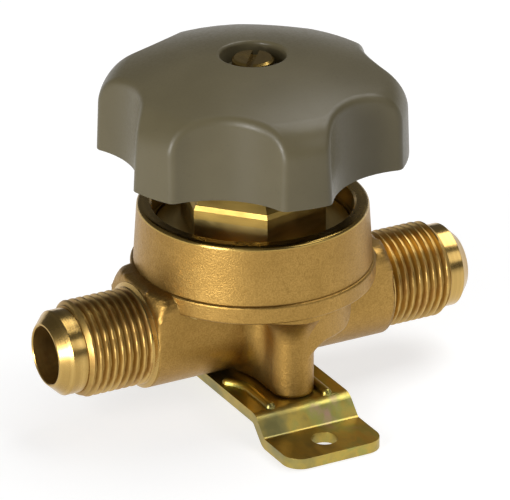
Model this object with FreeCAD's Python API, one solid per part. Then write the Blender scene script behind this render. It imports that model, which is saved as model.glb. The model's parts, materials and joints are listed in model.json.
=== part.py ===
import FreeCAD, Part
import math
import os

from FreeCAD import Placement, Rotation, Vector

# Refrigeration shut-off valve with diaphragms, two flare ends and a hand wheel.
# +X runs along the ports from inlet to outlet, -Y is the front, +Z is up.
# The origin lies on the floor under the middle of the two bracket feet.
# Every size is in millimetres. Heights that start with z_ are above the port axis.

# Flare ends
overall_length = 105.0
thread_r = 11.11
land_r = 9.7
land_length = 3.5
flare_cone_length = 2.6
thread_chamfer = 1.2
shoulder_x = 30.2
shoulder_cone_length = 1.5
thread_foot = 0.3
bore_r = 6.6
bore_depth = 20.5
bore_chamfer = 0.2
passage_r = 6.0

# Neck block of the forging
neck_half_width = 12.2
z_neck_top = 13.0
neck_corner_r = 3.6
neck_end_turn_r = 14.0
neck_end_turn_length = 2.4

# Pillars that stand on the bracket
pillar_r = 4.95
pillar_y = 18.4
z_pillar_bottom = -12.9
pillar_blend_r = 4.0
pillar_edge_r = 1.0
pillar_head_r = 8.0

# Round body under the ledge on the outlet side, round the passage that leads down to the outlet
pad_r = 23.2
pad_end_x = 16.3
z_pad_bottom = -0.8
pad_corner_r = 4.0
pad_blend_r = 3.0
pad_edge_r = 1.0

# Cup of the forging
cup_rim_r = 26.2
cup_base_r = 27.1
z_rim = 26.9
cup_wall = 3.4
rim_round = 1.0
ledge_step = 0.7
ledge_height = 4.3
ledge_round = 0.6
z_ledge_top = 13.0

# Chambers and seat inside the forging
cup_thread_r = 22.5
diaphragm_r = 20.0
clamp_inner_r = 16.5
z_diaphragm = 14.2
chamber_r = 10.4
z_chamber_top = 12.0
z_chamber_floor = 8.2
seat_lip_r = 8.0
orifice_r = 6.2
z_seat = 10.5
port_wall = 3.2
riser_r = 4.5
riser_inset = 0.6
riser_top_gap = 0.5
cup_thread_relief = 0.2

# Diaphragms and clamp ring
diaphragm_count = 3
diaphragm_thickness = 0.2
diaphragm_rise = 4.2
diaphragm_crown_r = 7.5
diaphragm_knee = 0.86
clamp_ring_thickness = 1.8

# Lift of the spindle
turns = 2.5
spindle_pitch = 1.5
lift = turns * spindle_pitch

# Bonnet
hex_across_flats = 30.0
hex_angle = 17.6
hex_chamfer_angle = 30.0
z_hex_top = 29.2
z_flange_top = 21.5
bonnet_neck_r = 9.0
z_bonnet_top = 34.8
shoe_bore_r = 9.6
shoe_bore_length = 4.0
bonnet_edge = 0.6

# Spindle
spindle_r = 6.0
spindle_shank_r = 5.4
spindle_square = 8.0
spindle_collar_r = 7.5
spindle_collar_height = 1.2
spindle_thread_length = 6.6
z_square = 43.0
square_length = 12.3

# Dust ring in the bonnet neck
dust_ring_section = 1.8
dust_ring_below_top = 1.5

# Thrust parts between spindle and diaphragms
shoe_thickness = 2.8
shoe_edge = 0.6
ball_r = 2.0
ball_seat_depth = 0.8

# Valve disc under the diaphragms
disc_r = 10.0
disc_plate_thickness = 1.6
disc_edge = 1.1
disc_boss_r = 8.1
seal_thickness = 2.0
seal_inner_r = 3.5
retainer_r = 5.6
retainer_thickness = 0.9
disc_screw_r = 1.5
disc_screw_head_r = 2.8
disc_screw_head_height = 1.4
disc_screw_length = 3.2
disc_screw_slot = 0.7

# Opening spring
spring_wire = 0.8
spring_mean_r = 9.2
spring_coils = 4
spring_seat_thickness = 0.5

# Hand wheel
wheel_r = 35.0
z_wheel = 39.1
wheel_draft = 2.0
wheel_shoulder_r = 8.6
z_wheel_top = 62.7
wheel_crown_r = 86.0
wheel_shell = 2.6
wheel_hub_r = 8.6
wheel_web = 2.5
scallop_count = 6
scallop_depth = 6.4
scallop_r = 20.0
scallop_draft = 2.5
scallop_angle = 38.0
lobe_edge_r = 2.2
rib_thickness = 1.8
rib_drop = 9.0
recess_r = 7.4
recess_depth = 4.7
recess_edge_r = 0.7

# Wheel screw
wheel_screw_r = 2.5
wheel_screw_head_r = 4.7
wheel_screw_head_height = 3.5
wheel_screw_length = 11.0
wheel_screw_edge = 0.5
slot_width = 1.5
slot_depth = 1.4
screw_end_gap = 0.5

# Mounting bracket
sheet = 2.5
bracket_width = 24.0
bracket_offset_x = -1.1
foot_drop = 4.3
foot_end_y = 42.6
foot_corner_r = 4.4
bend_start_y = 25.4
bend_inner_r = 1.2
hole_y = 35.6
hole_r = 3.0
bead_x = 7.2
bead_r = 1.25
bead_front_y = 23.4
bead_turn_y = 14.6
bead_turn_r = 9.0
bead_turn_angle = 45.0

# Bracket screws
bracket_screw_r = 2.5
bracket_screw_depth = 9.0
bracket_screw_head_r = 4.4
bracket_screw_head_height = 2.7
spring_washer_r = 4.2
spring_washer_thickness = 1.1

# Closeness for picking edges
near = 0.01

# Fits
slide_gap = 0.1
thread_gap = 0.05
seat_gap = 0.03
shaft_gap = 0.05
wheel_gap = 0.1

z_axis = sheet + foot_drop - z_pillar_bottom

AXIS_X = Vector(1, 0, 0)
AXIS_Y = Vector(0, 1, 0)
AXIS_Z = Vector(0, 0, 1)


def at(x, y, z):
    """Point at a height above the port axis."""
    return Vector(x, y, z_axis + z)


def closed_face(points):
    return Part.Face(Part.makePolygon(points + [points[0]]))


def turned(profile):
    """Solid turned about the valve's upright axis from (radius, height) points."""
    face = closed_face([at(r, 0, z) for r, z in profile])
    return face.revolve(at(0, 0, 0), AXIS_Z, 360)


def turned_on_port(profile):
    """Solid turned about the port axis from (x, radius) points."""
    face = closed_face([at(x, 0, r) for x, r in profile])
    return face.revolve(at(0, 0, 0), AXIS_X, 360)


def disc(radius, z_low, z_high, x=0, y=0):
    return Part.makeCylinder(radius, z_high - z_low, at(x, y, z_low))


def ring(outer, inner, z_low, z_high, x=0, y=0):
    return disc(outer, z_low, z_high, x, y).cut(disc(inner, z_low, z_high, x, y))


def mirrored_y(shape):
    return shape.mirror(Vector(0, 0, 0), AXIS_Y)


def mirrored_x(shape):
    return shape.mirror(Vector(0, 0, 0), AXIS_X)


def fuse_all(shapes):
    return shapes[0].multiFuse(shapes[1:]).removeSplitter()


def sampled(edge):
    """Five points along an edge, ends included."""
    span = edge.LastParameter - edge.FirstParameter
    return [edge.valueAt(edge.FirstParameter + share * span) for share in (0.0, 0.25, 0.5, 0.75, 1.0)]


def circular_edges(shape, radius, z):
    """Round edges about the upright axis with this radius and height above the port axis."""
    found = []
    for edge in shape.Edges:
        points = sampled(edge)
        if any(abs(point.z - z_axis - z) > near for point in points):
            continue
        if all(abs(math.hypot(point.x, point.y) - radius) < near for point in points):
            found.append(edge)
    return found


def polygon_prism(across_flats, sides, z_low, z_high, angle):
    """Upright prism; angle turns its first corner from the front towards -X."""
    corner_r = across_flats / 2 / math.cos(math.pi / sides)
    points = []
    for index in range(sides):
        turn = math.radians(angle + 360 / sides * index)
        points.append(at(-corner_r * math.sin(turn), -corner_r * math.cos(turn), z_low))
    return closed_face(points).extrude(Vector(0, 0, z_high - z_low))


# Heights that follow from the sizes above

z_ledge_bottom = z_ledge_top - ledge_height
z_stack_top = z_diaphragm + diaphragm_count * diaphragm_thickness
z_bonnet_bottom = z_stack_top + clamp_ring_thickness
z_dome_low = z_diaphragm + diaphragm_rise
z_dome_high = z_stack_top + diaphragm_rise
z_shoe = z_dome_high + seat_gap
z_shoe_top = z_shoe + shoe_thickness
z_ball = z_shoe_top + ball_r - ball_seat_depth
z_spindle = z_ball + ball_r - ball_seat_depth
z_collar_top = z_spindle + spindle_collar_height
z_back_stop = z_collar_top + slide_gap
z_spindle_shank = z_collar_top + spindle_thread_length
z_disc_top = z_dome_low - seat_gap
z_seal_face = z_seat + lift
z_spring_seat = z_chamber_floor + spring_seat_thickness
z_dust_ring = z_bonnet_top - dust_ring_below_top
z_recess = z_wheel_top - recess_depth
z_socket_top = z_recess - wheel_web
z_spindle_top = z_square + square_length
nose_x = overall_length / 2
land_end_x = nose_x - flare_cone_length
thread_start_x = land_end_x - land_length
cup_inner_r = cup_rim_r - cup_wall


def port_end():
    """Outside of the right flare end, from the neck to the nose."""
    nose_r = land_r - flare_cone_length
    profile = [
        (shoulder_x, 0),
        (shoulder_x, neck_half_width),
        (shoulder_x + shoulder_cone_length, thread_r),
        (thread_start_x - thread_chamfer, thread_r),
        (thread_start_x, land_r + thread_foot),
        (thread_start_x, land_r),
        (land_end_x, land_r),
        (nose_x, nose_r),
        (nose_x, 0),
    ]
    return turned_on_port(profile)


def neck_profile(corner):
    """U-shaped section of the neck at the inlet shoulder, with this corner radius on top."""
    half = neck_half_width
    x0 = -shoulder_x
    edges = [
        Part.LineSegment(at(x0, -half, 0), at(x0, -half, z_neck_top - corner)),
        Part.LineSegment(at(x0, -half + corner, z_neck_top), at(x0, half - corner, z_neck_top)),
        Part.LineSegment(at(x0, half, z_neck_top - corner), at(x0, half, 0)),
        Part.Arc(at(x0, half, 0), at(x0, 0, -half), at(x0, -half, 0)),
    ]
    if corner > 0:
        bow = corner * (1 - math.sqrt(0.5))
        for side in (-1, 1):
            edges.append(Part.Arc(at(x0, side * half, z_neck_top - corner),
                                  at(x0, side * (half - bow), z_neck_top - bow),
                                  at(x0, side * (half - corner), z_neck_top)))
    return Part.Face(Part.Wire(Part.__sortEdges__([edge.toShape() for edge in edges])))


def neck_block():
    """Neck with turned ends, rounded below and flat on top."""
    block = neck_profile(neck_corner_r).extrude(Vector(2 * shoulder_x, 0, 0))
    reach = neck_end_turn_r + neck_end_turn_length
    far = reach + neck_half_width
    envelope = turned_on_port([
        (-shoulder_x, 0),
        (-shoulder_x, neck_end_turn_r),
        (-shoulder_x + neck_end_turn_length, reach),
        (-shoulder_x + neck_end_turn_length, far),
        (shoulder_x - neck_end_turn_length, far),
        (shoulder_x - neck_end_turn_length, reach),
        (shoulder_x, neck_end_turn_r),
        (shoulder_x, 0),
    ])
    return block.common(envelope)


def pillars():
    """Both pillars, joined by a web that runs on under the neck, taller than they end up."""
    low = 2 * z_pillar_bottom
    high = z_ledge_bottom + ledge_height / 2
    web = Part.makeBox(2 * pillar_r, 2 * pillar_y, high - low, at(-pillar_r, -pillar_y, low))
    return fuse_all([disc(pillar_r, low, high, 0, -pillar_y), web, disc(pillar_r, low, high, 0, pillar_y)])


def on_neck_skin(edge):
    """Edge of the pillars' web that lies on the neck's flat sides or round underside."""
    for point in sampled(edge):
        z = min(point.z - z_axis, 0)
        if abs(math.hypot(point.y, z) - neck_half_width) > near or abs(abs(point.x) - pillar_r) > near:
            return False
    return True


def pillared_core():
    """Middle of the forging: square-topped neck with the pillars blended into it."""
    room = 2 * (pillar_r + 2 * pillar_blend_r)
    middle = neck_profile(0).extrude(Vector(2 * shoulder_x, 0, 0))
    middle = middle.common(Part.makeBox(room, 4 * neck_half_width, 4 * neck_half_width,
                                        at(-room / 2, -2 * neck_half_width, -2 * neck_half_width)))
    core = fuse_all([middle, pillars()])
    core = core.makeFillet(pillar_blend_r, [edge for edge in core.Edges if on_neck_skin(edge)])
    below = Part.makeBox(room, 2 * foot_end_y, -2 * z_pillar_bottom,
                         at(-room / 2, -foot_end_y, 3 * z_pillar_bottom))
    core = core.cut(below)
    bottom = [edge for edge in core.Edges if abs(edge.BoundBox.ZMax - z_axis - z_pillar_bottom) < near]
    return core.makeFillet(pillar_edge_r, bottom)


def corner_fill(radius, z_top):
    """Face in the corner between a pillar's flank and a flat underside, with a concave arc."""
    low = at(pillar_r, 0, z_top - radius)
    far = at(pillar_r + radius, 0, z_top)
    bow = radius * (1 - math.sqrt(0.5))
    arc = Part.Arc(low, at(pillar_r + bow, 0, z_top - bow), far).toShape()
    edges = [arc]
    points = [far, at(0, 0, z_top), at(0, 0, z_top - radius), low]
    for start, end in zip(points, points[1:]):
        edges.append(Part.LineSegment(start, end).toShape())
    return Part.Face(Part.Wire(edges))


def trumpet(radius, z_top, reach):
    """Round concave blend between a pillar and a flat underside, cut off at a reach from the valve's axis."""
    horn = corner_fill(radius, z_top).revolve(at(0, 0, 0), AXIS_Z, 360)
    horn.translate(Vector(0, -pillar_y, 0))
    return horn.common(disc(reach, z_top - radius, z_top))


def pad():
    """Round body under the ledge on the outlet side, blended into both pillars below."""
    top = z_ledge_bottom + ledge_height / 2
    face = closed_face([
        at(0, -pad_r, z_pad_bottom),
        at(pad_end_x, -pad_r, z_pad_bottom),
        at(pad_end_x, -pad_r, top),
        at(0, -pad_r, top),
    ])
    block = face.extrude(Vector(0, 2 * pad_r, 0))
    corner = [
        edge for edge in block.Edges
        if edge.BoundBox.YLength > pad_r
        and abs(edge.BoundBox.XMin - pad_end_x) < near
        and abs(edge.BoundBox.ZMax - z_axis - z_pad_bottom) < near
    ]
    block = block.makeFillet(pad_corner_r, corner).common(disc(pad_r, z_pad_bottom, top))
    below = z_pad_bottom - pad_blend_r
    horn = trumpet(pad_blend_r, z_pad_bottom, pad_r)
    horn = horn.common(Part.makeBox(pad_r, 2 * pad_r, pad_blend_r, at(0, -pad_r, below)))
    flank = corner_fill(pad_blend_r, z_pad_bottom)
    flank.translate(Vector(0, -pillar_y, 0))
    flank = flank.extrude(Vector(0, 2 * pillar_y, 0))
    block = fuse_all([block, horn, mirrored_y(horn), flank])
    rims = [
        edge for edge in block.Edges
        if all(abs(math.hypot(point.x, point.y) - pad_r) < near for point in sampled(edge))
        and edge.BoundBox.ZMin - z_axis < top - near
        and edge.BoundBox.XMax > near
        and edge.BoundBox.ZMax - z_axis > below + near
    ]
    return block.makeFillet(pad_edge_r, rims)


def pillar_heads():
    """Wide heads that spread both pillars out under the ledge."""
    horn = trumpet(pillar_head_r, z_ledge_bottom, cup_base_r)
    return [horn, mirrored_y(horn)]


def cup_outside():
    """Cup and its ledge, with a slight draft up to the rim."""
    ledge_r = cup_base_r + ledge_step
    cup = turned([
        (0, z_ledge_bottom),
        (ledge_r, z_ledge_bottom),
        (ledge_r, z_ledge_top),
        (cup_base_r, z_ledge_top),
        (cup_rim_r, z_rim),
        (0, z_rim),
    ])
    cup = cup.makeFillet(rim_round, circular_edges(cup, cup_rim_r, z_rim))
    ledge = circular_edges(cup, ledge_r, z_ledge_bottom) + circular_edges(cup, ledge_r, z_ledge_top)
    return cup.makeFillet(ledge_round, ledge)


def body_cavity():
    """Ports, orifice, chamber, diaphragm seat and threaded cup."""
    inside = turned([
        (0, z_seat),
        (seat_lip_r, z_seat),
        (seat_lip_r, z_chamber_floor),
        (chamber_r, z_chamber_floor),
        (chamber_r, z_chamber_top),
        (clamp_inner_r, z_diaphragm),
        (diaphragm_r + thread_gap, z_diaphragm),
        (diaphragm_r + thread_gap, z_bonnet_bottom - cup_thread_relief),
        (cup_thread_r, z_bonnet_bottom - cup_thread_relief),
        (cup_thread_r, z_flange_top),
        (cup_inner_r, z_flange_top),
        (cup_inner_r, z_rim - rim_round / 2),
        (cup_inner_r + rim_round / 2, z_rim),
        (0, z_rim),
    ])
    orifice = disc(orifice_r, 0, z_seat)
    outlet_start = orifice_r + port_wall
    inlet = Part.makeCylinder(passage_r, nose_x + orifice_r, at(-nose_x, 0, 0), AXIS_X)
    outlet = Part.makeCylinder(passage_r, nose_x - outlet_start, at(outlet_start, 0, 0), AXIS_X)
    riser = disc(riser_r, 0, z_diaphragm - riser_top_gap, outlet_start + riser_r - riser_inset)
    bore = turned_on_port([
        (-nose_x, 0),
        (-nose_x, bore_r + bore_chamfer),
        (-nose_x + bore_chamfer, bore_r),
        (-nose_x + bore_depth, bore_r),
        (-nose_x + bore_depth, 0),
    ])
    screw_holes = [
        Part.makeCylinder(bracket_screw_r + thread_gap, bracket_screw_depth, at(0, y, z_pillar_bottom))
        for y in (-pillar_y, pillar_y)
    ]
    return [inside, orifice, inlet, outlet, riser, bore, mirrored_x(bore)] + screw_holes


def valve_body():
    """One brass forging with turned flare ends."""
    outside = fuse_all([neck_block(), pillared_core(), pad(), cup_outside(), port_end(),
                        mirrored_x(port_end())] + pillar_heads())
    return outside.cut(body_cavity())


def bonnet():
    """Threaded flange, hexagon and neck, bored for shoe, spindle and dust ring."""
    flange_r = cup_thread_r - thread_gap
    cone_top = z_back_stop - shoe_bore_length
    flange = turned([
        (0, z_bonnet_bottom),
        (flange_r - bonnet_edge, z_bonnet_bottom),
        (flange_r, z_bonnet_bottom + bonnet_edge),
        (flange_r, z_flange_top - bonnet_edge),
        (flange_r - bonnet_edge, z_flange_top),
        (0, z_flange_top),
    ])
    hexagon = polygon_prism(hex_across_flats, 6, z_flange_top - bonnet_edge, z_hex_top, hex_angle)
    hex_corner_r = hex_across_flats / math.sqrt(3)
    crown_r = hex_across_flats / 2 - bonnet_edge
    drop = (hex_corner_r - crown_r) * math.tan(math.radians(hex_chamfer_angle))
    crown = turned([
        (0, z_bonnet_bottom),
        (hex_corner_r, z_bonnet_bottom),
        (hex_corner_r, z_hex_top - drop),
        (crown_r, z_hex_top),
        (0, z_hex_top),
    ])
    neck = turned([
        (0, z_flange_top),
        (bonnet_neck_r, z_flange_top),
        (bonnet_neck_r, z_bonnet_top - bonnet_edge),
        (bonnet_neck_r - bonnet_edge, z_bonnet_top),
        (0, z_bonnet_top),
    ])
    solid = fuse_all([flange, hexagon.common(crown), neck])
    dome_room = turned([
        (0, z_bonnet_bottom),
        (clamp_inner_r, z_bonnet_bottom),
        (shoe_bore_r, cone_top),
        (shoe_bore_r, z_back_stop),
        (0, z_back_stop),
    ])
    thread_hole = disc(spindle_r + shaft_gap, z_back_stop, z_spindle_shank)
    shank_hole = disc(spindle_shank_r + 2 * shaft_gap, z_spindle_shank, z_bonnet_top)
    groove_r = spindle_shank_r + shaft_gap + dust_ring_section + shaft_gap
    groove = disc(groove_r, z_dust_ring - dust_ring_section / 2 - shaft_gap,
                  z_dust_ring + dust_ring_section / 2 + shaft_gap)
    return solid.cut([dome_room, thread_hole, shank_hole, groove])


def clamp_ring():
    return ring(diaphragm_r, clamp_inner_r, z_stack_top, z_bonnet_bottom)


def diaphragm(index):
    """Thin domed sheet; the sheets lie on each other from the lowest up."""
    low = z_diaphragm + index * diaphragm_thickness
    rise = diaphragm_rise
    slope_mid_r = (clamp_inner_r + diaphragm_crown_r) / 2

    def curve(z):
        return [
            Part.LineSegment(at(0, 0, z + rise), at(diaphragm_crown_r, 0, z + rise)),
            Part.Arc(at(diaphragm_crown_r, 0, z + rise),
                     at((diaphragm_crown_r + slope_mid_r) / 2, 0, z + rise * diaphragm_knee),
                     at(slope_mid_r, 0, z + rise / 2)),
            Part.Arc(at(slope_mid_r, 0, z + rise / 2),
                     at((clamp_inner_r + slope_mid_r) / 2, 0, z + rise * (1 - diaphragm_knee)),
                     at(clamp_inner_r, 0, z)),
            Part.LineSegment(at(clamp_inner_r, 0, z), at(diaphragm_r, 0, z)),
        ]

    lower = [edge.toShape() for edge in curve(low)]
    upper = [edge.toShape() for edge in curve(low + diaphragm_thickness)]
    inner = Part.LineSegment(at(0, 0, low + rise), at(0, 0, low + rise + diaphragm_thickness)).toShape()
    outer = Part.LineSegment(at(diaphragm_r, 0, low), at(diaphragm_r, 0, low + diaphragm_thickness)).toShape()
    wire = Part.Wire(Part.__sortEdges__(lower + upper + [inner, outer]))
    return Part.Face(wire).revolve(at(0, 0, 0), AXIS_Z, 360)


def pressure_shoe():
    """Round pad that carries the spindle's push to the diaphragms."""
    r = shoe_bore_r - slide_gap
    pad = turned([
        (0, z_shoe),
        (diaphragm_crown_r - shoe_edge, z_shoe),
        (r, z_shoe + shoe_edge * 2),
        (r, z_shoe_top - shoe_edge),
        (r - shoe_edge, z_shoe_top),
        (0, z_shoe_top),
    ])
    return pad.cut(Part.makeSphere(ball_r + seat_gap, at(0, 0, z_ball)))


def thrust_ball():
    return Part.makeSphere(ball_r, at(0, 0, z_ball))


def spindle():
    """Spindle with a back-stop collar, thread, shank and square for the wheel."""
    post = turned([
        (0, z_spindle),
        (spindle_collar_r, z_spindle),
        (spindle_collar_r, z_collar_top),
        (spindle_r, z_collar_top),
        (spindle_r, z_spindle_shank - bonnet_edge),
        (spindle_shank_r, z_spindle_shank),
        (spindle_shank_r, z_spindle_top - bonnet_edge),
        (spindle_shank_r - bonnet_edge, z_spindle_top),
        (0, z_spindle_top),
    ])
    half = spindle_square / 2
    flats = polygon_prism(spindle_square, 4, z_square, z_spindle_top, scallop_angle + 45)
    sleeve = disc(spindle_shank_r + half, z_square, z_spindle_top).cut(flats)
    ball_seat = Part.makeSphere(ball_r + seat_gap, at(0, 0, z_ball))
    z_hole = z_recess - wheel_screw_length - screw_end_gap
    screw_hole = disc(wheel_screw_r + thread_gap, z_hole, z_spindle_top)
    return post.cut([sleeve, ball_seat, screw_hole])


def dust_ring():
    section_r = dust_ring_section / 2
    return Part.makeTorus(spindle_shank_r + shaft_gap + section_r, section_r, at(0, 0, z_dust_ring), AXIS_Z)


def valve_disc():
    """Brass disc with a spring flange and a boss that holds the seal."""
    z_plate = z_disc_top - disc_plate_thickness
    z_pocket = z_seal_face + seal_thickness
    plate = turned([
        (0, z_pocket),
        (disc_boss_r, z_pocket),
        (disc_boss_r, z_plate),
        (disc_r, z_plate),
        (disc_r, z_disc_top - disc_edge),
        (diaphragm_crown_r, z_disc_top),
        (0, z_disc_top),
    ])
    stub = disc(seal_inner_r, z_seal_face, z_pocket)
    screw_hole = disc(disc_screw_r + thread_gap, z_seal_face, z_seal_face + disc_screw_length)
    return plate.fuse(stub).removeSplitter().cut(screw_hole)


def seal_ring():
    return ring(disc_boss_r, seal_inner_r + seat_gap, z_seal_face, z_seal_face + seal_thickness)


def seal_retainer():
    return ring(retainer_r, disc_screw_r + slide_gap, z_seal_face - retainer_thickness, z_seal_face)


def retainer_screw():
    z_head_top = z_seal_face - retainer_thickness
    z_head = z_head_top - disc_screw_head_height
    head = disc(disc_screw_head_r, z_head, z_head_top)
    slot = Part.makeBox(2 * disc_screw_head_r, disc_screw_slot, disc_screw_slot,
                        at(-disc_screw_head_r, -disc_screw_slot / 2, z_head))
    shank = disc(disc_screw_r, z_head_top, z_seal_face + disc_screw_length - screw_end_gap)
    return head.cut(slot).fuse(shank).removeSplitter()


def opening_spring():
    """Round wire wound on a helix between the spring seat and the disc's flange."""
    z_low = z_spring_seat + spring_wire / 2 + seat_gap
    z_high = z_disc_top - disc_plate_thickness - spring_wire / 2 - seat_gap
    pitch = (z_high - z_low) / spring_coils
    helix = Part.makeHelix(pitch, z_high - z_low, spring_mean_r)
    helix.Placement = Placement(at(0, 0, z_low), Rotation())
    start = helix.Vertexes[0].Point
    circle = Part.Wire(Part.makeCircle(spring_wire / 2, start, Vector(0, spring_mean_r, pitch / 2 / math.pi)))
    return Part.Wire(helix.Edges).makePipeShell([circle], True, True)


def spring_seat():
    return ring(chamber_r - slide_gap, seat_lip_r + slide_gap, z_chamber_floor, z_spring_seat)


def crown_height(radius, shell=0):
    """Height of the wheel's domed top at this distance from its axis."""
    sphere_r = wheel_crown_r - shell
    return z_wheel_top - wheel_crown_r + math.sqrt(sphere_r ** 2 - radius ** 2)


def wheel_outline(shell):
    """Solid of the wheel's outer form, drawn in by the shell thickness."""
    base_r = wheel_r - shell
    lean = math.tan(math.radians(wheel_draft))
    top_r = base_r - lean * (crown_height(base_r, shell) - z_wheel)
    z_edge = crown_height(top_r, shell)
    edges = [
        Part.LineSegment(at(0, 0, z_wheel), at(base_r, 0, z_wheel)).toShape(),
        Part.LineSegment(at(base_r, 0, z_wheel), at(top_r, 0, z_edge)).toShape(),
        Part.Arc(at(top_r, 0, z_edge), at(top_r / 2, 0, crown_height(top_r / 2, shell)),
                 at(0, 0, crown_height(0, shell))).toShape(),
        Part.LineSegment(at(0, 0, crown_height(0, shell)), at(0, 0, z_wheel)).toShape(),
    ]
    solid = Part.Face(Part.Wire(edges)).revolve(at(0, 0, 0), AXIS_Z, 360)
    return solid.makeFillet(wheel_shoulder_r - shell, circular_edges(solid, top_r, z_edge))


def scallop_cutters(shell):
    """Leaning round cutters for the finger grips, grown by the shell thickness."""
    height = z_wheel_top - z_wheel
    low_r = scallop_r + shell
    high_r = low_r + height * math.tan(math.radians(scallop_draft))
    reach = wheel_r - scallop_depth + scallop_r
    cutters = []
    for index in range(scallop_count):
        cutter = Part.makeCone(low_r, high_r, height, at(reach, 0, z_wheel))
        cutter.rotate(Vector(0, 0, 0), AXIS_Z, -90 - scallop_angle + 360 / scallop_count * index)
        cutters.append(cutter)
    return cutters


def grip_edges(shape):
    """Edges round each finger grip, from the wheel's foot up over its shoulder."""
    found = []
    for edge in shape.Edges:
        points = sampled(edge)
        reaches = [math.hypot(point.x, point.y) for point in points]
        on_foot = all(point.z - z_axis < z_wheel + near for point in points)
        level = max(point.z for point in points) - min(point.z for point in points) < near
        concentric = max(reaches) - min(reaches) < near
        if on_foot or (level and concentric) or min(reaches) < wheel_r - 2 * scallop_depth:
            continue
        found.append(edge)
    return found


def handwheel():
    """Moulded hand wheel: scalloped shell with hub, square socket and ribs."""
    outside = wheel_outline(0).cut(scallop_cutters(0))
    outside = outside.makeFillet(lobe_edge_r, grip_edges(outside))
    hollow = wheel_outline(wheel_shell).cut(scallop_cutters(wheel_shell))
    hub = disc(wheel_hub_r, z_square + wheel_gap, z_wheel_top)
    step = 360 / scallop_count
    ribs = []
    for index in range(scallop_count):
        rib = Part.makeBox(wheel_r, rib_thickness, z_wheel_top - z_wheel,
                           at(0, -rib_thickness / 2, z_wheel + rib_drop))
        rib.rotate(Vector(0, 0, 0), AXIS_Z, -90 - scallop_angle + step * (index + 0.5))
        ribs.append(rib)
    hollow = hollow.cut([hub] + ribs)
    recess = disc(recess_r, z_recess, z_wheel_top)
    socket = polygon_prism(spindle_square + 2 * wheel_gap, 4, z_square, z_socket_top, scallop_angle + 45)
    round_socket = disc(spindle_shank_r + wheel_gap, z_square, z_socket_top)
    screw_hole = disc(wheel_screw_r + slide_gap, z_socket_top, z_recess)
    wheel = outside.cut([hollow, recess, socket.common(round_socket), screw_hole])
    return wheel.makeFillet(recess_edge_r, circular_edges(wheel, recess_r, crown_height(recess_r)))


def wheel_screw():
    """Slotted brass screw that holds the wheel on the spindle."""
    z_head_top = z_recess + wheel_screw_head_height
    r = wheel_screw_head_r
    head = turned([
        (0, z_recess),
        (r, z_recess),
        (r, z_head_top - wheel_screw_edge),
        (r - wheel_screw_edge, z_head_top),
        (0, z_head_top),
    ])
    slot = Part.makeBox(2 * r, slot_width, slot_depth, at(-r, -slot_width / 2, z_head_top - slot_depth))
    slot.rotate(Vector(0, 0, 0), AXIS_Z, -90 - scallop_angle)
    shank = disc(wheel_screw_r, z_recess - wheel_screw_length, z_recess)
    return head.cut(slot).fuse(shank).removeSplitter()


def bracket_sheet():
    """Bracket strip with a raised middle and two feet, bent from one sheet."""
    z_top = z_pillar_bottom
    z_foot = z_top - foot_drop
    inset = sheet * math.tan(math.pi / 8)
    half = [
        (bend_start_y, z_top),
        (bend_start_y + foot_drop, z_foot),
        (foot_end_y, z_foot),
        (foot_end_y, z_foot - sheet),
        (bend_start_y + foot_drop - inset, z_foot - sheet),
        (bend_start_y - inset, z_top - sheet),
    ]
    side_x = bracket_offset_x - bracket_width / 2
    points = [at(side_x, y, z) for y, z in half]
    points += [at(side_x, -y, z) for y, z in reversed(half)]
    strip = closed_face(points).extrude(Vector(bracket_width, 0, 0))
    strip = strip.makeFillet(bend_inner_r + sheet, bend_edges(strip, [z_top, z_foot - sheet]))
    strip = strip.makeFillet(bend_inner_r, bend_edges(strip, [z_top - sheet, z_foot]))
    corners = [
        edge for edge in strip.Edges
        if abs(abs(edge.BoundBox.Center.y) - foot_end_y) < near
        and edge.BoundBox.XLength < near
        and edge.BoundBox.ZLength > sheet - near
    ]
    return strip.makeFillet(foot_corner_r, corners)


def bend_edges(strip, heights):
    """Sharp edges across the strip at these heights, without those at the feet's ends."""
    found = []
    for edge in strip.Edges:
        box = edge.BoundBox
        across = box.XLength > bracket_width - near and box.YLength < near
        level = any(abs(box.ZMin - z_axis - z) < near for z in heights)
        inside = bend_start_y - sheet < abs(box.YMin) < foot_end_y - near
        if across and level and inside and not is_tangent_line(edge, strip):
            found.append(edge)
    return found


def is_tangent_line(edge, strip):
    """Whether the two faces at this edge run on smoothly into each other."""
    point = edge.valueAt((edge.FirstParameter + edge.LastParameter) / 2)
    normals = []
    for face in strip.Faces:
        if any(other.isSame(edge) for other in face.Edges):
            u, v = face.Surface.parameter(point)
            normals.append(face.normalAt(u, v))
    return abs(normals[0].dot(normals[1])) > math.cos(math.radians(5))


def bead(z_base):
    """Round bar along the front left pillar that turns outward as it goes under the neck."""
    turn = math.radians(bead_turn_angle)
    crest_x = bracket_offset_x - bead_x
    centre_x = crest_x - bead_turn_r
    start = at(crest_x, -bead_front_y, z_base)
    knee = at(crest_x, -bead_turn_y, z_base)
    middle = at(centre_x + bead_turn_r * math.cos(turn / 2), -bead_turn_y + bead_turn_r * math.sin(turn / 2),
                z_base)
    end = at(centre_x + bead_turn_r * math.cos(turn), -bead_turn_y + bead_turn_r * math.sin(turn), z_base)
    path = Part.Wire([Part.LineSegment(start, knee).toShape(), Part.Arc(knee, middle, end).toShape()])
    section = Part.Wire(Part.makeCircle(bead_r, start, AXIS_Y))
    bar = path.makePipeShell([section], True, True)
    return fuse_all([bar, Part.makeSphere(bead_r, start), Part.makeSphere(bead_r, end)])


def four_beads(z_base):
    """Beads on both sides of both pillars, even about the middle of the strip."""
    left = bead(z_base)
    right = left.mirror(Vector(bracket_offset_x, 0, 0), AXIS_X)
    return [left, right, mirrored_y(left), mirrored_y(right)]


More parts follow.
